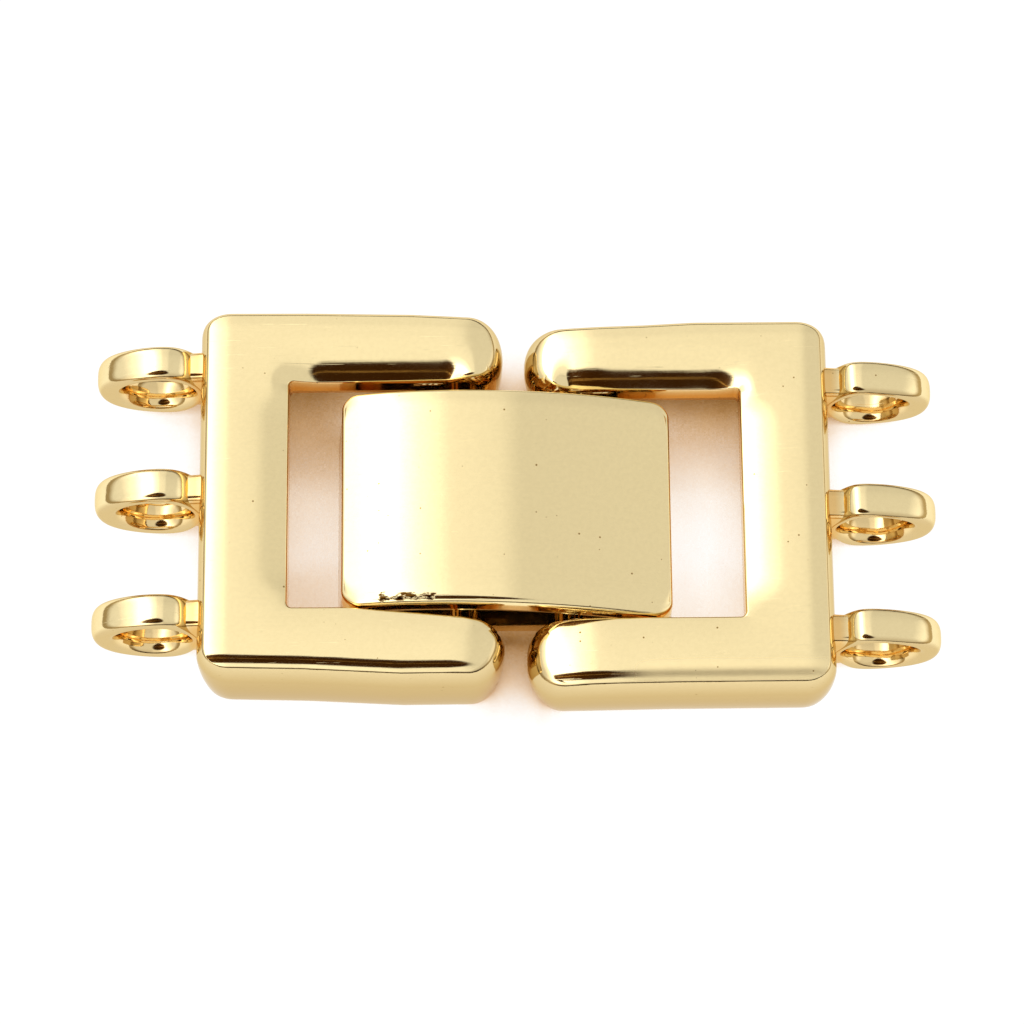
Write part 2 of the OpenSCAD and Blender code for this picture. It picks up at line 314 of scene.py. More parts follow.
def goldPlate():
    # gold-plated brass, cast, polished and then plated: a mirror with soft waves from the polishing wheel,
    # fine pits of the casting and a pale, slightly green gold colour
    f = goldLook
    gold = bpy.data.materials.new("Gold-plated brass, polished")
    gold.use_nodes = True
    tree = gold.node_tree
    shader = tree.nodes["Principled BSDF"]
    shader.inputs["Metallic"].default_value = 1.0
    shader.inputs["Specular Tint"].default_value = toLinear(f["grazing"])
    coords = addNode(tree, "ShaderNodeTexCoord").outputs["Object"]
    # the marks of the pieces: painted shade on the walls, painted shade with painted warm bounce light in hollows and
    # undersides, a struck burr, and brushing
    wall, paintedShade, scuff, haze = (addNode(tree, "ShaderNodeAttribute", attribute_name=key).outputs["Fac"]
                               for key in ("wall", "paintedShade", "scuff", "haze"))
    # waves of the polish, ripples in them, and streaks of the wheel along the clasp
    fields, bump = {}, None
    for name, (grain, detail, rough, height) in f["relief"].items():
        run = addNode(tree, "ShaderNodeMapping", {"Vector": coords, "Scale": tuple(1 / (v * mm) for v in grain)})
        fields[name] = addNode(tree, "ShaderNodeTexNoise", {
            "Vector": run.outputs[0], "Scale": 1.0, "Detail": detail, "Roughness": rough}).outputs["Fac"]
        under = {"Normal": bump.outputs[0]} if bump else {}
        bump = addNode(tree, "ShaderNodeBump", under | {
            "Height": fields[name], "Strength": 1.0, "Distance": height * mm})
    # pits: the cores of some cells only
    cells = addNode(tree, "ShaderNodeTexVoronoi", {"Vector": coords, "Scale": 1 / (f["pitMm"] * mm)}, feature="F1")
    chance = addNode(tree, "ShaderNodeSeparateColor", {0: cells.outputs["Color"]})
    widest = f["pitSize"] / f["pitMm"]
    size = addNode(tree, "ShaderNodeMapRange", {
        "Value": chance.outputs[0], "From Min": f["pitsFrom"], "From Max": 1.0, "To Min": 0.0, "To Max": widest})
    inside = addNode(tree, "ShaderNodeMath", {0: size.outputs[0], 1: cells.outputs["Distance"]},
                     operation="SUBTRACT")
    # a burr where something struck the cover's near edge
    slanted = addNode(tree, "ShaderNodeMapping", {
        "Vector": coords, "Scale": f["chipStretch"], "Rotation": (0, 0, f["chipTurn"])})
    chips = addNode(tree, "ShaderNodeTexNoise", {
        "Vector": slanted.outputs[0], "Scale": 1 / (f["chipMm"] * mm), "Detail": 5, "Roughness": f["chipRough"]})
    torn = addNode(tree, "ShaderNodeMath", {0: scuff, 1: f["struckShare"], 2: chips.outputs["Fac"]},
                   operation="MULTIPLY_ADD")
    # fine scratches of wear, all the same slanting way
    thin = addNode(tree, "ShaderNodeMapping", {
        "Vector": coords, "Rotation": (0, 0, f["scratchTurn"]), "Scale": tuple(1 / (v * mm) for v in f["scratchMm"])})
    grain = addNode(tree, "ShaderNodeTexNoise", {"Vector": thin.outputs[0], "Scale": 1.0, "Detail": 2})
    # roughness varies with how well each spot was polished
    spots = addNode(tree, "ShaderNodeTexNoise", {"Vector": coords, "Scale": 1 / (f["spotMm"] * mm), "Detail": 4})
    pit, mottle, burr, scratch, rough = (
        addNode(tree, "ShaderNodeMapRange", {
            "Value": value, "From Min": a, "From Max": b, "To Min": start, "To Max": finish}).outputs[0]
        for value, (a, b), start, finish in (
            (inside.outputs[0], (0.0, widest / 2), 0.0, 1.0),
            # the plating is a little duller in tiny spots
            (fields["ripple"], f["mottle"][:2], 0.0, f["mottle"][2]),
            (torn.outputs[0], f["torn"], 0.0, 1.0), (grain.outputs["Fac"], f["scratchRange"], 0.0, 1.0),
            (spots.outputs["Fac"], f["spotRange"], f["smooth"], f["dull"])))
    shown = toLinear(f["face"])
    # painted shade darkens the walls and fills the hollows; the mottle, the pits and the burr are the plate's own
    # colour
    for share, colour in ((wall, "wall"), (paintedShade, "paintedShade"), (mottle, "wall"), (pit, "pit"), (burr, "scuff")):
        shown = addNode(tree, "ShaderNodeMix", {0: share, 6: shown, 7: toLinear(f[colour])},
                        data_type="RGBA").outputs[2]
    relief = addNode(tree, "ShaderNodeMath", {0: burr, 1: f["burrDepth"], 2: scratch}, operation="MULTIPLY_ADD")
    bump = addNode(tree, "ShaderNodeBump", {
        "Height": relief.outputs[0], "Strength": f["scratchStrength"], "Distance": f["scratchDepth"] * mm,
        "Normal": bump.outputs[0]}, invert=True)
    rough = addNode(tree, "ShaderNodeMath", {0: haze, 1: f["brushed"], 2: rough}, operation="MULTIPLY_ADD")
    for value, key in ((shown, "Base Color"), (rough.outputs[0], "Roughness"), (bump.outputs[0], "Normal")):
        tree.links.new(value, shader.inputs[key])
    return gold


gold = goldPlate()
print("the gold plate is made")


frames = dict(
    # plan of one half of the C: outer reach, window, corners; the skin, wall and solid boss of its underside
    reach=12.15, windowReach=8.7, windowHalf=4.67, windowCorner=0.2, cornerX=1.2, cornerY=0.95,
    skin=1.5, wall=1.0, boss=3.65,
    # points: rows along spine, corner, arm and free end, columns across, steps in an arc, and levels of the
    # walls' edge, shoulder, straight part, foot and foot's edge
    spineRows=16, cornerRows=44, armRows=26, endRows=22, cols=34, arc=20, cornerArc=30, endFrom=2.3,
    levels=(7, 13, 5, 7, 5),
    # top: radius and steepest angle of the near and far roll, crown of the spine, rounding to the window
    nearRoll=(0.85, 46), farRoll=(1.2, 22), ridge=0.01, crownOut=6.4, cornerDepth=0.06, nearDepth=0.10,
    spineFade=(0.2, -1.5), armFade=(-0.6, -0.1),
    # upper edge: angles in degrees by side, radius outside, at the window and by how much more on the far arm
    spineEdge=14, endEdge=24, nearWindow=14, farWindow=(36, 12), farWindowRun=((9.2, 8.2), (1.4, 2.4)),
    edgeOut=0.03, edgeIn=0.12, edgeFar=0.2, edgeStop=50, edgePast=2, edgeRun=(-0.3, 2.0), edgeReach=0.4,
    facing=(0.2, 0.9),
    # shoulder under the edge with its steepest start in radians, and how the free ends belly and fade: from and
    # to in mm from the end
    shoulder=(0.41, 1.2), shoulderIn=0.8, shoulderSteepest=1.57, endRun=(0.2, 2.4), bulgeRun=(1.2, 3.4),
    # foot: how far it stands in, and the radius of its edge outside and at the window
    footIn=0.2, footOut=0.22, footWindow=0.12, footStand=0.35, lipRows=6,
    # how much painted shade each level's colour takes: edge, shoulder, wall and foot, darkest at the foot; depth over
    # which painted shade darkens the window
    shadeTones=(0.30, 0.75, 1.1), dark=0.7, brushedAt=(-1.35, -0.8), brushedRun=2.2,
    # where the skew fades in, counted from the window's edge: outside, in the window and over the arm
    skewOut=(0.5, 2.0), skewWindow=(-1.5, 0.0), skewArm=(0.2, 1.9),
    left=dict(side=-1, node="left_frame", body="left_half", crown=10.84, crownIn=10.2, freeEnd=0.45, bulge=0.12,
              endOuter=(1.3, 1.5), endInner=(0.95, 1.1), armRoll=(1.5, 2.4), endCrown=(2.6, 9.0),
              bandStart=(9.6, 7.4), bandEnd=(1.5, 2.7), hazeFrom=99,
              # skew: distance from the middle, then how far each arm's outer and inner side moves across
              farSkew=((0, 2, 4, 8, 12), (0.08, 0.11, 0.22, 0.30, 0.32)),
              nearSkew=((0, 2, 4.4, 8, 12), (-0.23, -0.26, -0.27, -0.07, 0.04)),
              farInner=((0,), (-0.12,)),
              nearInner=((0.5, 1.0, 1.7, 2.5, 4.4, 6.5), (-0.52, -0.48, -0.43, -0.36, -0.18, 0.0))),
    right=dict(side=1, node="right_frame", body="right_half", crown=10.95, crownIn=8.6, freeEnd=0.38, bulge=0.34,
               endOuter=(1.3, 1.3), endInner=(1.1, 1.1), armRoll=(1.5, 2.4), endCrown=(3.75, 10.6),
               bandStart=(9.4, 7.6), bandEnd=(1.4, 2.2), hazeFrom=3.2,
               farSkew=((0, 2.5, 5, 7, 12), (0.14, 0.18, 0.25, 0.35, 0.35)),
               nearSkew=((0, 2.5, 6, 12), (-0.27, -0.26, -0.21, -0.19)),
               farInner=((0,), (0,)), nearInner=((0,), (0,))))


def frameShift(spec, x, y):
    # as the halves lie in the photo, each has a little skew, so its outline moves a few tenths across
    f = frames
    outer, inner = (np.where(y > 0, np.interp(x, *spec["far" + key]), np.interp(x, *spec["near" + key]))
                    for key in ("Skew", "Inner"))
    out, window, arm = (smooth(*f[key], np.abs(y) - f["windowHalf"]) for key in ("skewOut", "skewWindow", "skewArm"))
    return outer * out + inner * window * (1 - arm)


def ellipse(cx, cy, ax, ay, start, finish, n):
    a = np.radians(np.linspace(start, finish, n))
    return np.c_[cx + ax * np.cos(a), cy + ay * np.sin(a)]


def resample(points, n):
    # n points spread evenly along a path
    run = np.r_[0, np.cumsum(np.linalg.norm(np.diff(points, axis=0), axis=1))]
    return np.stack([np.interp(np.linspace(0, run[-1], n), run, points[:, k]) for k in (0, 1)], 1)


def halfOutline(spec, half):
    # outer and inner side of one half of the C, paired row by row from the spine's middle to the free end,
    # and the end curve, which joins them at the middle of each round corner
    f = frames
    far, wide, edge, corner, steps = f["reach"], f["windowReach"], f["windowHalf"], f["windowCorner"], f["arc"]
    xf, (ax, ay), (bx, by) = spec["freeEnd"], spec["endOuter"], spec["endInner"]
    ys = np.linspace(0, edge - corner, f["spineRows"])
    xs = np.linspace(wide - corner, xf + f["endFrom"], f["armRows"])[1:]
    turn = ellipse(far - f["cornerX"], half - f["cornerY"], f["cornerX"], f["cornerY"], 0, 90, f["cornerArc"])
    turn = np.r_[[(far, edge - corner)], turn, [(wide - corner, half)]]
    outEnd = np.r_[[(xs[-1], half)], ellipse(xf + ax, half - ay, ax, ay, 90, 135, steps)]
    inEnd = np.r_[[(xs[-1], edge)], ellipse(xf + bx, edge + by, bx, by, 270, 225, steps)]
    outer = np.r_[np.c_[np.full_like(ys, far), ys], resample(turn, f["cornerRows"])[1:],
                  np.c_[xs, np.full_like(xs, half)], resample(outEnd, f["endRows"])[1:]]
    inner = np.r_[np.c_[np.full_like(ys, wide), ys],
                  ellipse(wide - corner, edge - corner, corner, corner, 0, 90, f["cornerRows"])[1:],
                  np.c_[xs, np.full_like(xs, edge)], resample(inEnd, f["endRows"])[1:]]
    end = np.r_[ellipse(xf + ax, half - ay, ax, ay, 135, 180, steps),
                ellipse(xf + bx, edge + by, bx, by, 180, 225, steps)]
    return outer, inner, resample(end, f["cols"])


def coons(first, last, left, right):
    # a patch between its first and last row and its left and right column
    u = np.linspace(0, 1, len(left))[:, None, None]
    v = np.linspace(0, 1, len(first))[None, :, None]
    flat = (1 - u) * first[None] + u * last[None] + (1 - v) * left[:, None] + v * right[:, None]
    return flat - ((1 - u) * (1 - v) * first[0] + (1 - u) * v * first[-1] + u * (1 - v) * last[0] + u * v * last[-1])


def frameTop(spec, half, height, x, y):
    # height of the top face at a place
    f = frames
    across, far, edge = np.abs(y), f["windowReach"], f["windowHalf"]
    wide, tall = f["shoulder"]
    drop = np.zeros_like(x)
    # the arms roll over to their walls
    for (radius, steepest), mine in ((f["nearRoll"], y < 0), (f["farRoll"], y >= 0)):
        steepest = math.radians(steepest)
        ridge = half - wide * (1 - math.sin(math.atan(math.tan(steepest) * wide / tall))) + f["ridge"]
        run = radius * math.sin(steepest)
        drop += mine * (radius - np.sqrt(radius ** 2 - np.clip(run - (ridge - across), 0, run) ** 2))
    # the spine is crowned, and the arms fall off a little towards the free end
    endFrom, endRadius = spec["endCrown"]
    drop += np.clip(x - spec["crown"], 0, None) ** 2 / (2 * f["crownOut"])
    # the roll to the window goes by place alone, so it meets at the corners without a pinch
    spineRun, (armRun, armRadius), corner = spec["crown"] - far, spec["armRoll"], f["cornerDepth"]
    armDepth = np.where(y > 0, armRun ** 2 / (2 * armRadius), f["nearDepth"])
    spineDepth = spineRun ** 2 / (2 * spec["crownIn"])
    armFade, spineFade = (smooth(edge + f[key][0], edge + f[key][1], across) for key in ("armFade", "spineFade"))
    band = smooth(*spec["bandStart"], x) * smooth(*spec["bandEnd"], x)
    depth = corner + (armDepth - corner) * band * armFade + (spineDepth - corner) * spineFade
    away = np.hypot(np.clip(x - far, 0, None) / spineRun, np.clip(across - edge, 0, None) / armRun)
    drop += depth * np.clip(1 - away, 0, None) ** 2
    drop += np.clip(endFrom - x, 0, None) ** 2 / (2 * endRadius)
    return height - drop


def buildFrame(spec):
    f = frames
    low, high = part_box(spec["node"])
    height, half, shift = high.z / mm, (high.y - low.y) / 2 / mm, (high.y + low.y) / 2 / mm
    xf, cols, endRows = spec["freeEnd"], f["cols"], f["endRows"]
    # both sides run from the near free end to the far one, and the closed outline goes round all four
    outer, inner, end = halfOutline(spec, half)
    flip = np.array([1, -1])
    outer, inner = (np.r_[(side * flip)[:0:-1], side] for side in (outer, inner))
    rows = len(outer)
    loop = np.r_[outer, end[1:-1], inner[::-1], (end * flip)[::-1][1:-1]]
    along = np.roll(loop, -1, 0) - np.roll(loop, 1, 0)
    along /= np.maximum(np.linalg.norm(along, axis=1), 1e-9)[:, None]
    normal = np.c_[along[:, 1], -along[:, 0]]
    innerPart = slice(rows + cols - 2, 2 * rows + cols - 2)
    isInner = np.zeros(len(loop), bool)
    isInner[innerPart] = True
    x, y = loop[:, 0], loop[:, 1]

    def fill(ring, spread):
        # grid between the two sides of a closed outline; its round ends are patches of four sides
        o, i = ring[:rows], ring[innerPart][::-1]
        farRow = np.r_[o[-1:], ring[rows:rows + cols - 2], i[-1:]]
        nearRow = np.r_[o[:1], ring[2 * rows + cols - 2:][::-1], i[:1]]
        grid = o[:, None] + (i - o)[:, None] * spread[:, :, None]
        grid[rows - endRows:] = coons(grid[rows - endRows], farRow, o[rows - endRows:], i[rows - endRows:])
        grid[:endRows] = coons(grid[endRows - 1], nearRow, o[:endRows][::-1], i[:endRows][::-1])[::-1]
        return grid

    # the free ends belly out below their top edge, and the shoulder fades out along the window's walls
    back = spec["bulge"] * (1 - smooth(xf + f["bulgeRun"][0], xf + f["bulgeRun"][1], x))
    endward = 1 - smooth(xf + f["endRun"][0], xf + f["endRun"][1], x)
    shoulder = np.where(isInner, endward * f["shoulderIn"], 1.0)
    nearSide, farSide = (smooth(*f["facing"], way) * ~isInner for way in (-normal[:, 1], normal[:, 1]))
    armShare = smooth(f["windowReach"] + f["edgeRun"][0], f["edgeRun"][1], x) \
        * (np.abs(y) < f["windowHalf"] + f["edgeReach"])
    edge = np.where(isInner, f["edgeIn"] + np.where(y < 0, 0.0, f["edgeFar"]) * armShare, f["edgeOut"])
    # the edge's angle where the top ends, and where the shoulder takes over
    tilt = f["spineEdge"] + (f["nearRoll"][1] - f["spineEdge"]) * nearSide \
        + (f["farRoll"][1] - f["spineEdge"]) * farSide
    farTilt = f["farWindow"][0] * smooth(*f["farWindowRun"][0], x) * smooth(*f["farWindowRun"][1], x) \
        + f["farWindow"][1]
    tilt = np.where(isInner, np.where(y < 0, f["nearWindow"], farTilt), tilt)
    tilt = np.radians(tilt * (1 - endward) + f["endEdge"] * endward)
    stop = np.where(isInner, np.radians(90) * (1 - shoulder) + np.radians(f["edgeStop"]) * shoulder,
                    tilt + math.radians(f["edgePast"]))
    wide, tall = (size * shoulder for size in f["shoulder"])
    start = np.arctan(np.tan(np.minimum(stop, f["shoulderSteepest"])) * f["shoulder"][0] / f["shoulder"][1])

    # top
    inset = wide * (1 - np.sin(start)) + edge * (np.sin(stop) - np.sin(tilt))
    topLoop = loop - normal * inset[:, None]
    topLoop[:, 0] += back
    topZ = frameTop(spec, half, height, topLoop[:, 0], topLoop[:, 1])
    share = np.tile((1 - np.cos(np.linspace(0, np.pi, cols))) / 2, (rows, 1))
    grid = fill(topLoop, share)
    verts, faces = [], []
    addSheet(verts, faces, grid, frameTop(spec, half, height, grid[..., 0], grid[..., 1]))
    gx, gy = grid[..., 0].ravel(), grid[..., 1].ravel()
    haze = smooth(half + f["brushedAt"][0], half + f["brushedAt"][1], -gy) \
        * smooth(spec["hazeFrom"], spec["hazeFrom"] + f["brushedRun"], gx)
    marks = [np.c_[haze, 0 * haze, 0 * haze]]

    # walls, level by level: how far each stands in, its height, how much it bellies and its share of painted shade
    firstShade, wallShade, footShade = f["shadeTones"]
    edgeLevels, shoulderLevels, wallLevels, footLevels, lastLevels = (np.linspace(0, 1, n) for n in f["levels"])
    levels = []
    for t in edgeLevels:
        a = tilt + (stop - tilt) * t
        levels.append((wide * (1 - np.sin(start)) + edge * (np.sin(stop) - np.sin(a)),
                       topZ - edge * (np.cos(tilt) - np.cos(a)), 1.0, 0.0))
    edgeZ = levels[-1][1]
    for t in shoulderLevels[1:]:
        a = start + (math.pi / 2 - start) * t
        levels.append((wide * (1 - np.sin(a)), edgeZ - tall * (np.cos(start) - np.cos(a)),
                       1 - math.sin(math.pi / 2 * t), firstShade + (wallShade - firstShade) * t))
    shoulderZ, ceiling = levels[-1][1], height - f["skin"]
    full = ~isInner | (x < f["boss"])
    skinZ = np.minimum(ceiling, shoulderZ)
    for t in wallLevels[1:]:
        levels.append((0 * x, shoulderZ + (skinZ - shoulderZ) * t, 0.0, wallShade))
    foot = np.where(full, np.where(isInner, f["footWindow"], f["footOut"]), 0.0)
    for t in footLevels[1:]:
        levels.append((f["footIn"] * t ** 2 * (~isInner), np.where(full, skinZ + (foot - skinZ) * t, skinZ),
                       f["footStand"] * t ** 2, wallShade + (footShade - wallShade) * t))
    for t in lastLevels[1:]:
        a = t * np.pi / 2
        levels.append((f["footIn"] * (~isInner) + foot * (1 - np.cos(a)),
                       np.where(full, foot * (1 - np.sin(a)), skinZ), f["footStand"], footShade))
    rings = []
    for inset, z, stand, shadeShare in levels:
        ring = loop - normal * inset[:, None]
        ring[:, 0] += back * stand
        rings.append(addRing(verts, np.c_[ring, z]))
        # painted shade: the outer walls darken towards the foot, and the window's walls darken the deeper they go
        marks.append(np.c_[0 * z, shadeShare * ~isInner, smooth(0.0, f["dark"], topZ - z) * isInner])
    joinRings(faces, rings)

    # underside: flat under the bosses, and elsewhere a lip along the outer wall with a cavity behind it
    hollow = inner[:, 0] >= f["boss"]
    width = np.linalg.norm(ring[innerPart][::-1] - ring[:rows], axis=1)
    lip, rim = np.clip((f["wall"] - f["footOut"]) / width, 0, 0.5), f["lipRows"]
    for row in np.where(hollow)[0]:
        share[row] = np.r_[np.linspace(0, lip[row], rim), lip[row], np.linspace(lip[row], 1, cols - rim)[1:]]
    under = np.zeros((rows, cols))
    under[hollow, rim:] = ceiling
    under[hollow, -1] = z[innerPart][::-1][hollow]
    addSheet(verts, faces, fill(ring, share), under)
    # painted shade over the whole underside
    marks.append(np.tile((0.0, 0.0, 1.0), (under.size, 1)))

    verts = np.array(verts)
    verts[:, 1] += frameShift(spec, verts[:, 0], verts[:, 1]) + shift
    verts[:, 0] *= spec["side"]
    makeObject(spec["node"].replace("_", "") + "Body", verts, faces, gold, spec["body"], spec["node"],
               dict(zip(("haze", "wall", "paintedShade"), np.concatenate(marks).T)))


for spec in (frames["left"], frames["right"]):
    buildFrame(spec)
print("the frames are made")


loops = dict(count=3, pitch=5.05, reach=16.25, wall=12.15, wallGap=0.06, sink=0.4, holeX=13.85, hole=2.6, width=1.34,
             # the section's exponent at the hole and at the rim, the neck's roundness, turns in radians
             holePower=0.95, rimPower=0.68, trimY=-0.18, trimZ=-0.10, neckWide=1.3, flare=0.08,
             turns=(0.012, 0.012, 0.015), seed=7,
             circlePoints=72, sectionPoints=64, ringPoints=128, neckGrid=(12, 16, 30),
             # where painted shade turns the colour pinker: beside the ring, in the hole and at the wall
             besideRun=(0.45, 0.62), beside=0.6, holeRun=0.35, holeShade=0.25, rootRun=(0.5, 0.1), rootShade=0.6,
             left=dict(side=-1, node="left_loops", body="left_half", diameter=4.2, along=0.32, crownIn=0.6,
                       wallIn=0.1, neckTall=3.1),
             right=dict(side=1, node="right_loops", body="right_half", diameter=3.8, along=0.0, crownIn=1.0,
                        wallIn=0.5, neckTall=2.9))


def loopTree(inputs):
    # strand rings in a row along the wall, each with its hole off its middle and a neck that runs into the wall
    f = loops
    tree = bpy.data.node_groups.new("strandLoops", "GeometryNodeTree")
    tree.interface.new_socket("Geometry", in_out="OUTPUT", socket_type="NodeSocketGeometry")
    kinds = {float: "Float", int: "Int", tuple: "Vector"}
    for name, entry in inputs.items():
        kind = kinds.get(type(entry), "Material")
        tree.interface.new_socket(name, in_out="INPUT", socket_type="NodeSocket" + kind)
    given = addNode(tree, "NodeGroupInput").outputs
    place = addNode(tree, "GeometryNodeInputPosition").outputs[0]
    value = {name: given[name] for name in inputs}
    value |= zip("xyz", addNode(tree, "ShaderNodeSeparateXYZ", {0: place}).outputs)
    # each entry is one sum: its result's name, the sign or the function, and the terms
    sums = [
        ("spread", "-", "Diameter", "Hole"), ("rim", "*", "spread", 0.5), ("halfRim", "*", "spread", 0.25),
        ("halfWidth", "*", "Width", 0.5), ("total", "+", "Diameter", "Hole"), ("middle", "*", "total", 0.25),
        ("holeRadius", "*", "Hole", 0.5),
        # section: round towards the hole and squarish at the rim
        ("sizeX", "ABSOLUTE", "x"), ("sizeY", "ABSOLUTE", "y"), ("signX", "SIGN", "x"), ("signY", "SIGN", "y"),
        ("outer", "GREATER_THAN", "x", 0.0),
        ("power", "*+", "outer", f["rimPower"] - f["holePower"], f["holePower"]), ("bentX", "^", "sizeX", "power"),
        ("bentY", "^", "sizeY", "power"), ("sideX", "*", "bentX", "signX"), ("sideY", "*", "bentY", "signY"),
        ("sectionX", "*", "sideX", "halfRim"), ("sectionY", "*", "sideY", "halfWidth"),
        # the rim moves out by the whole offset and the hole's edge not at all; the top leans to the wall
        ("squareX", "*", "x", "x"), ("squareZ", "*", "z", "z"), ("square", "+", "squareX", "squareZ"),
        ("radius", "SQRT", "square"), ("depth", "-", "radius", "holeRadius"), ("share", "/", "depth", "rim"),
        ("aside", "/", "x", "radius"), ("flatness", "*", "aside", "aside"), ("upright", "-", 1.0, "flatness"),
        ("topShare", "*", "upright", "upright"), ("crownLean", "*", "topShare", "Crown Shift"),
        ("inward", "*", "aside", -1.0), ("wallSide", "MAXIMUM", "inward", 0.0),
        ("wallShare", "*", "wallSide", "wallSide"), ("pull", "*", "wallShare", "Wall Shift"),
        ("leans", "+", "crownLean", "pull"), ("lean", "-", "Hole Offset", "leans"),
        ("slid", "*+", "share", "lean", "x"), ("ringX", "MAXIMUM", "slid", "Wall"),
        # the neck: a rounded bar from the ring's middle circle to the wall, where it flares a little
        ("sixthY", "^", "sizeY", 6.0), ("sizeZ", "ABSOLUTE", "z"), ("sixthZ", "^", "sizeZ", 6.0),
        ("trimY", "*+", "sixthZ", f["trimY"], 1.0), ("trimZ", "*+", "sixthY", f["trimZ"], 1.0),
        ("unitY", "*", "y", "trimY"), ("unitZ", "*", "z", "trimZ"), ("halfTall", "*", "Neck Height", 0.5),
        ("halfNeck", "*", "Neck Width", 0.5), ("neckY", "*", "unitY", "halfNeck"),
        ("neckZ", "*", "unitZ", "halfTall"), ("rise", "/", "neckZ", "middle"), ("riseShare", "*", "rise", "rise"),
        ("low", "-", 1.0, "riseShare"), ("lowShare", "MAXIMUM", "low", 0.0), ("root", "SQRT", "lowShare"),
        ("lift", "*", "root", "middle"), ("riseFourth", "*", "riseShare", "riseShare"),
        ("topLean", "*", "riseFourth", "Crown Shift"), ("lowLean", "*", "lowShare", "Wall Shift"),
        ("bothLean", "+", "topLean", "lowLean"), ("neckLean", "-", "Hole Offset", "bothLean"),
        ("halfLean", "*", "neckLean", 0.5), ("seat", "-", "halfLean", "lift"), ("sunk", "-", "Wall", "Sink"),
        ("span", "-", "sunk", "seat"), ("left", "-", 0.5, "x"), ("leftShare", "*", "left", "left"),
        ("run", "-", 1.0, "leftShare"), ("neckX", "*+", "span", "run", "seat"), ("runCube", "^", "run", 3.0),
        ("grow", "*+", "runCube", "Flare", 1.0), ("flareY", "*", "neckY", "grow"), ("flareZ", "*", "neckZ", "grow")]
    signs = {"+": "ADD", "-": "SUBTRACT", "*": "MULTIPLY", "/": "DIVIDE", "^": "POWER", "*+": "MULTIPLY_ADD"}
    for name, sign, *terms in sums:
        links = {i: value.get(t, t) for i, t in enumerate(terms)}
        value[name] = addNode(tree, "ShaderNodeMath", links, operation=signs.get(sign, sign)).outputs[0]
    sectionAt, ringAt, neckAt = (
        addNode(tree, "ShaderNodeCombineXYZ", {i: value[t] for i, t in enumerate(terms)}).outputs[0]
        for terms in (("sectionX", "sectionY"), ("ringX", "y", "z"), ("neckX", "flareY", "flareZ")))
    circle = addNode(tree, "GeometryNodeCurvePrimitiveCircle", {"Resolution": f["circlePoints"], "Radius": 1.0})
    shaped = addNode(tree, "GeometryNodeSetPosition", {"Geometry": circle.outputs[0], "Position": sectionAt})
    section = addNode(tree, "GeometryNodeResampleCurve", {"Curve": shaped.outputs[0], "Count": f["sectionPoints"]})
    path = addNode(tree, "GeometryNodeCurvePrimitiveCircle", {"Resolution": f["ringPoints"],
                                                              "Radius": value["middle"]})
    ring = addNode(tree, "GeometryNodeCurveToMesh", {"Curve": path.outputs[0], "Profile Curve": section.outputs[0]})
    stand = addNode(tree, "GeometryNodeTransform", {"Geometry": ring.outputs[0], "Rotation": (math.radians(90), 0, 0)})
    leaning = addNode(tree, "GeometryNodeSetPosition", {"Geometry": stand.outputs[0], "Position": ringAt})
    block = addNode(tree, "GeometryNodeMeshCube", {"Size": (1, 2, 2)} | {
        "Vertices " + axis: n for axis, n in zip("XYZ", f["neckGrid"])})
    neck = addNode(tree, "GeometryNodeSetPosition", {"Geometry": block.outputs[0], "Position": neckAt})
    both = addNode(tree, "GeometryNodeJoinGeometry")
    for shape in (leaning, neck):
        tree.links.new(shape.outputs[0], both.inputs[0])
    # the row, in which no ring stands quite straight
    step = addNode(tree, "ShaderNodeCombineXYZ", {1: given["Pitch"]})
    row = addNode(tree, "GeometryNodeMeshLine", {
        "Count": given["Count"], "Start Location": given["Start"], "Offset": step.outputs[0]}, mode="OFFSET")
    tilt = addNode(tree, "FunctionNodeRandomValue", {
        "Seed": given["Seed"], 0: tuple(-a for a in f["turns"]), 1: f["turns"]}, data_type="FLOAT_VECTOR")
    placed = addNode(tree, "GeometryNodeInstanceOnPoints", {
        "Points": row.outputs[0], "Instance": both.outputs[0], "Rotation": tilt.outputs[0]})
    real = addNode(tree, "GeometryNodeRealizeInstances", {"Geometry": placed.outputs[0]})
    done = addNode(tree, "GeometryNodeSetMaterial", {"Geometry": real.outputs[0], "Material": given["Finish"]})
    addNode(tree, "NodeGroupOutput", {0: done.outputs[0]})
    return tree


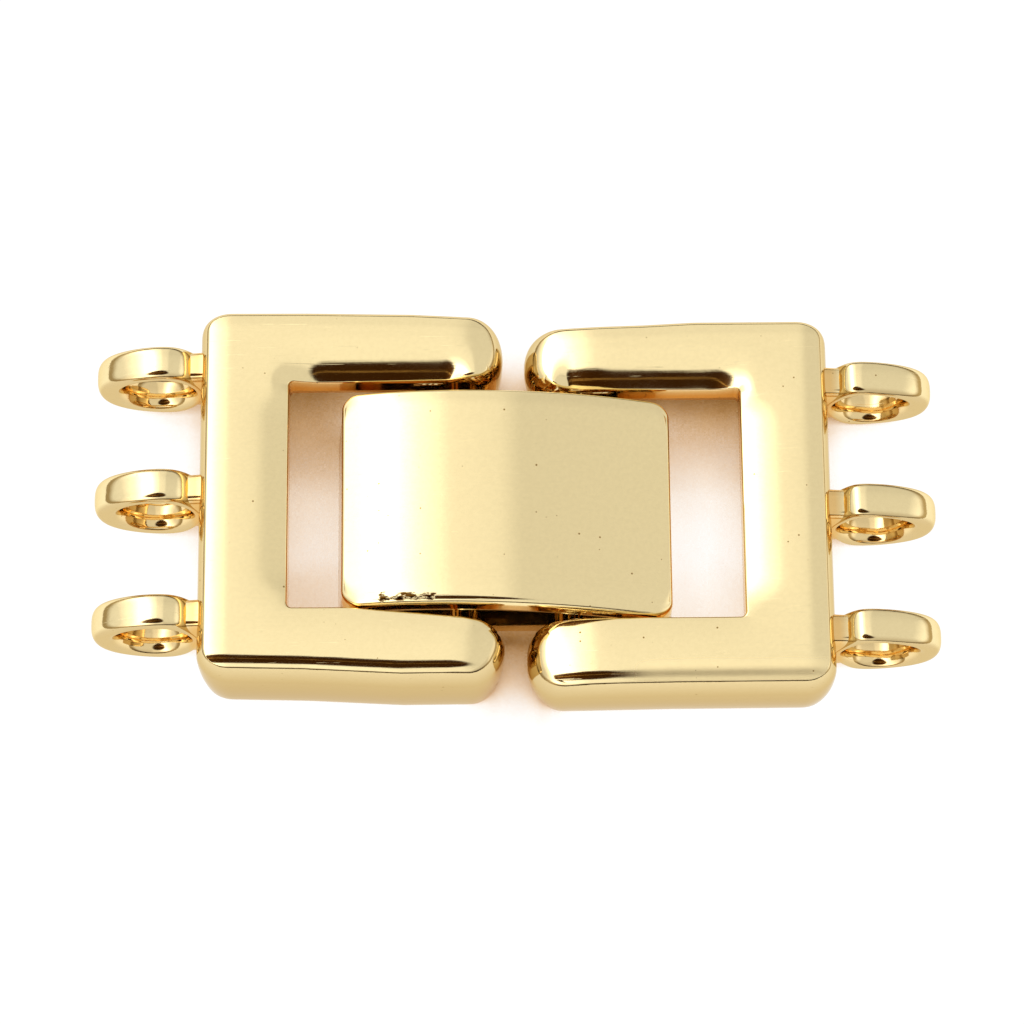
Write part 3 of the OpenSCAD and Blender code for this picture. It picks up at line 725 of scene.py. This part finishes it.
def buildLoops(spec):
    f = loops
    low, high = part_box(spec["node"])
    size, middleY = spec["diameter"], (high.y + low.y) / 2 / mm + spec["along"]
    z = high.z / mm - size / 2
    values = {key: v * mm for key, v in {
        "Diameter": size, "Hole": f["hole"], "Width": f["width"], "Hole Offset": f["reach"] - size / 2 - f["holeX"],
        "Crown Shift": spec["crownIn"], "Wall Shift": spec["wallIn"], "Pitch": f["pitch"],
        "Wall": f["wall"] - f["wallGap"] - f["holeX"], "Sink": f["sink"], "Neck Width": f["neckWide"],
        "Neck Height": spec["neckTall"]}.items()}
    values |= {"Count": f["count"], "Seed": f["seed"], "Flare": f["flare"], "Finish": gold,
               "Start": (f["holeX"] * mm, -f["pitch"] * (f["count"] - 1) / 2 * mm, z * mm)}
    tree = loopTree(values)
    holder = addObject(tree.name, bpy.data.meshes.new(tree.name))
    modifier = holder.modifiers.new(tree.name, "NODES")
    modifier.node_group = tree
    for item in tree.interface.items_tree:
        if item.in_out == "INPUT":
            modifier[item.identifier] = values[item.name]
    verts, faces = takeShape(holder)
    # painted shade and painted reflection: a ring's sides and hole and the neck's root are pinker, since they face the
    # table and each other
    verts = np.array(verts)
    reach = np.hypot(verts[:, 0] - f["holeX"], verts[:, 2] - z)
    beside = np.abs((verts[:, 1] + f["count"] / 2 * f["pitch"]) % f["pitch"] - f["pitch"] / 2)
    hole, (near, far) = f["hole"] / 2, f["rootRun"]
    marks = dict(wall=smooth(*f["besideRun"], beside) * f["beside"],
                 paintedShade=smooth(hole + f["holeRun"], hole, reach) * f["holeShade"]
                 + smooth(f["wall"] + near, f["wall"] + far, verts[:, 0]) * f["rootShade"])
    verts = verts * (spec["side"], 1, 1) + (0, middleY, 0)
    makeObject(spec["node"].replace("_l", "L") + "Cast", verts, faces, gold, spec["body"], spec["node"], marks)


for spec in (loops["left"], loops["right"]):
    buildLoops(spec)
print("the strand loops are made")


cover = dict(
    # plan, plate and arc
    endIn=0.2, cornerX=0.75, cornerY=0.62, plate=0.75, rise=1.1, leftZ=4.3, rightZ=3.45, thick=1.0,
    # edge: radius, the near one's, its first angle in degrees, and the soft run of the plate before it
    edge=0.16, nearEdge=0.32, tilt=12, rollIn=0.5, press=0.004,
    # lip, with the lean of its wall and the run of its painted shade, and the knuckle round the pin
    lip=0.5, lipZ=0.35, lipLean=0.26, leanRun=((1.2, 4.0), 2.5), dark=((0.3, 0.05), (4.3, 4.0)),
    pinX=4.8, pinZ=1.55, knuckle=0.75, knuckleHalf=1.4, pinHole=0.41, webTurn=(359, 449),
    # points: columns, rows of the straight run, a corner and the knuckle, levels of the edge and the side
    cols=60, runRows=90, cornerRows=14, knuckleSteps=48, edgeLevels=10, sideLevels=6,
    # how far the near and the far side stand out of line at the left and the right end
    nearOut=(0.13, 0.42), farIn=(0.28, 0.40),
    # the struck spot on the near edge: its run along X, and how far in it begins and ends
    struck=(-5.3, -2.9), struckFade=0.3, struckIn=((0.75, 0.35), (0.0, 0.15)))


def buildCover():
    f = cover
    low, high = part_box("clip_cover")
    x0, x1, half = low.x / mm, high.x / mm - f["endIn"], (high.y - low.y) / 2 / mm
    length, midX = x1 - x0, (x0 + x1) / 2
    lean = math.atan((f["leftZ"] - f["rightZ"]) / length)
    midZ = (f["leftZ"] + f["rightZ"]) / 2 - f["plate"]
    radius = (length ** 2 / 4 + f["rise"] ** 2) / (2 * f["rise"])
    # rows of the plate: a turn in each corner and a straight run between them; one row is the lip's inner side
    turn = np.unique(np.r_[np.linspace(0, np.pi / 2, f["cornerRows"]), math.acos(1 - f["lip"] / f["cornerX"])])
    flat = np.linspace(0, 1, f["runRows"])[1:-1]
    m = f["cols"]
    share = np.linspace(0, 1, m)

    def topZ(x):
        # the arc's middle lies below the plate and is turned with its slope
        down = f["plate"] + f["rise"] - radius
        return midZ + down * math.cos(lean) + np.sqrt(radius ** 2 - (x - midX - down * math.sin(lean)) ** 2)

    def underZ(x):
        return np.maximum(midZ - (x - midX) * math.tan(lean), topZ(x) - f["thick"])

    def outline(inset):
        # the plate's edge, drawn in by a share of each side's own roll
        dx, dn = f["edge"] * inset, f["nearEdge"] * inset
        cx = f["cornerX"] - dx
        left = x0 + dx + cx * (1 - np.cos(turn))
        right = (x1 - dx - cx * (1 - np.cos(turn)))[::-1]
        bend = np.r_[np.sin(turn), np.ones(len(flat)), np.sin(turn)[::-1]]
        near = -(half - dn - (f["cornerY"] - dn) * (1 - bend))
        far = half - dx - (f["cornerY"] - dx) * (1 - bend)
        return np.r_[left, left[-1] + (right[0] - left[-1]) * flat, right], near, far, bend

    def sheet(inset):
        xs, near, far, bend = outline(inset)
        return np.stack([np.repeat(xs[:, None], m, 1), near[:, None] + (far - near)[:, None] * share[None]], 2)

    xs, near, far, bend = outline(0.0)
    n = len(xs)
    # the edge loop runs along the near side, the right end, the far side and the left end
    ids = np.arange(n * m).reshape(n, m)
    rim = np.r_[ids[:-1, 0], ids[-1, :-1], ids[::-1][:-1, -1], ids[0, ::-1][:-1]]
    loop = sheet(0.0).reshape(-1, 2)[rim]
    # the long near edge is rolled over much more than the others
    nearShare = np.zeros((n, m))
    nearShare[:, 0] = smooth(0.0, 1.0, bend)
    roll = f["edge"] + (f["nearEdge"] - f["edge"]) * nearShare.reshape(-1)[rim]
    tilt = math.radians(f["tilt"])
    verts, faces = [], []
    plate = sheet(1 - math.sin(tilt))
    away = np.minimum(plate[..., 1] - plate[:, :1, 1], plate[:, -1:, 1] - plate[..., 1])
    plateZ = topZ(plate[..., 0]) - f["press"] \
        - math.tan(tilt) * f["rollIn"] / 2 * np.clip(1 - away / f["rollIn"], 0, 1) ** 2
    addSheet(verts, faces, plate, plateZ)
    # the rolled edge, the plate's side, and the walls of the lip and the skirt
    rings, edgeZ = [rim], plateZ.reshape(-1)[rim]
    for t in np.linspace(0, 1, f["edgeLevels"])[1:]:
        a = tilt + (math.pi / 2 - tilt) * t
        sideZ = edgeZ - roll * (math.cos(tilt) - math.cos(a))
        ring = sheet(1 - math.sin(a)).reshape(-1, 2)[rim]
        rings.append(addRing(verts, np.c_[ring, sideZ]))
    under = underZ(loop[:, 0])
    for t in np.linspace(0, 1, f["sideLevels"])[1:]:
        rings.append(addRing(verts, np.c_[loop, sideZ + (under - sideZ) * t]))
    ends = np.where(loop[:, 0] <= x0 + f["lip"] + 1e-6, f["lipZ"],
                    np.where(loop[:, 0] >= x1 - f["lip"] - 1e-6, f["pinZ"], under))
    rings.append(addRing(verts, np.c_[loop, ends]))
    joinRings(faces, rings)
    # underside: the lip's foot, the plate and the skirt's foot, with a step at each side of the plate
    lipRow, skirtRow = (int(np.argmin(np.abs(xs - at))) for at in (x0 + f["lip"], x1 - f["lip"]))
    rows = np.r_[:lipRow + 1, lipRow:skirtRow + 1, skirtRow:n]
    z = np.r_[np.full(lipRow + 1, f["lipZ"]), underZ(xs[lipRow:skirtRow + 1]), np.full(n - skirtRow, f["pinZ"])]
    addSheet(verts, faces, sheet(0.0)[rows], np.repeat(z[:, None], m, 1))
    # the knuckle round the pin and its web to the skirt
    px, pz, r, side = f["pinX"], f["pinZ"], f["knuckle"], f["knuckleHalf"]
    a = np.radians(np.linspace(90, 450, f["knuckleSteps"] + 1))[:-1]
    around = np.c_[np.cos(a), np.sin(a)]
    outer, bore = (px, pz) + r * around, (px, pz) + f["pinHole"] * around
    web = (a > math.radians(f["webTurn"][0])) & (a < math.radians(f["webTurn"][1]))
    outer[web] = np.c_[np.full(web.sum(), x1 - f["lip"] / 2), pz + r * np.linspace(0, 1, web.sum())]
    rings = [addRing(verts, [(p[0], y, p[1]) for p in ring])
             for ring, y in ((outer, -side), (outer, side), (bore, side), (bore, -side))]
    joinRings(faces, rings + rings[:1])
    # the lip's wall leans out, and in the photo the cover stands a little askew on its pin
    verts = np.array(verts)
    # painted shade on the cover's left end, below its top
    darkX, darkZ = f["dark"]
    paintedShade = smooth(x0 + darkX[0], x0 + darkX[1], verts[:, 0]) * smooth(*darkZ, verts[:, 2])
    leanZ, leanX = f["leanRun"]
    verts[:, 0] += f["lipLean"] * smooth(*leanZ, verts[:, 2]) * smooth(x0 + leanX, x0, verts[:, 0])
    (start, finish), fade, (into, past) = f["struck"], f["struckFade"], f["struckIn"]
    scuff = smooth(start - fade, start + fade, verts[:, 0]) * smooth(finish + fade, finish - fade, verts[:, 0]) \
        * smooth(-half + into[0], -half + into[1], verts[:, 1]) * smooth(-half + past[0], -half + past[1], verts[:, 1])
    run = np.clip((verts[:, 0] - x0) / length, 0, 1)
    back = np.clip((verts[:, 1] + half) / (2 * half), 0, 1)
    nearOut, farIn = (a + (b - a) * run for a, b in (f["nearOut"], f["farIn"]))
    verts[:, 1] -= nearOut * (1 - back) + farIn * back
    makeObject("coverPlate", verts, faces, gold, "cover", "clip_cover", dict(scuff=scuff, paintedShade=paintedShade))


buildCover()
print("the cover is made")


# the leaf's edge radius, bevel segments, angle limit, merging, flat angle, and the share of painted shade over the
# whole leaf
clip = dict(edge=0.1, segments=3, limit=35, merge=2e-6, flat=1, shadeShare=0.1)


def buildClip():
    # the leaf with its cradle, eye and knuckles: the solid's own form with its edges tumbled round
    f = clip
    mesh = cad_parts["clip_base"].data.copy()
    bm = bmesh.new()
    bm.from_mesh(mesh)
    bmesh.ops.remove_doubles(bm, verts=bm.verts, dist=f["merge"])
    bmesh.ops.dissolve_limit(bm, angle_limit=math.radians(f["flat"]), verts=bm.verts, edges=bm.edges)
    bm.to_mesh(mesh)
    bm.free()
    holder = addObject("clipForm", mesh)
    bevel = holder.modifiers.new("tumbledEdges", "BEVEL")
    bevel.width, bevel.segments = f["edge"] * mm, f["segments"]
    bevel.limit_method, bevel.angle_limit = "ANGLE", math.radians(f["limit"])
    verts, faces = takeShape(holder)
    # the whole leaf takes a little painted shade, as it sits under the cover
    makeObject("clipLeaf", verts, faces, gold, "clip", "clip_base", dict(paintedShade=[f["shadeShare"]] * len(verts)))


buildClip()
print("the clip's leaf is made")

# the bars and the pin are plain rods, so their solids are shown as they are
for name in ("left_bar", "right_bar", "hinge_pin"):
    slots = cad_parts[name].data.materials
    slots.clear()
    slots.append(gold)
print("the bars and the pin are plated")
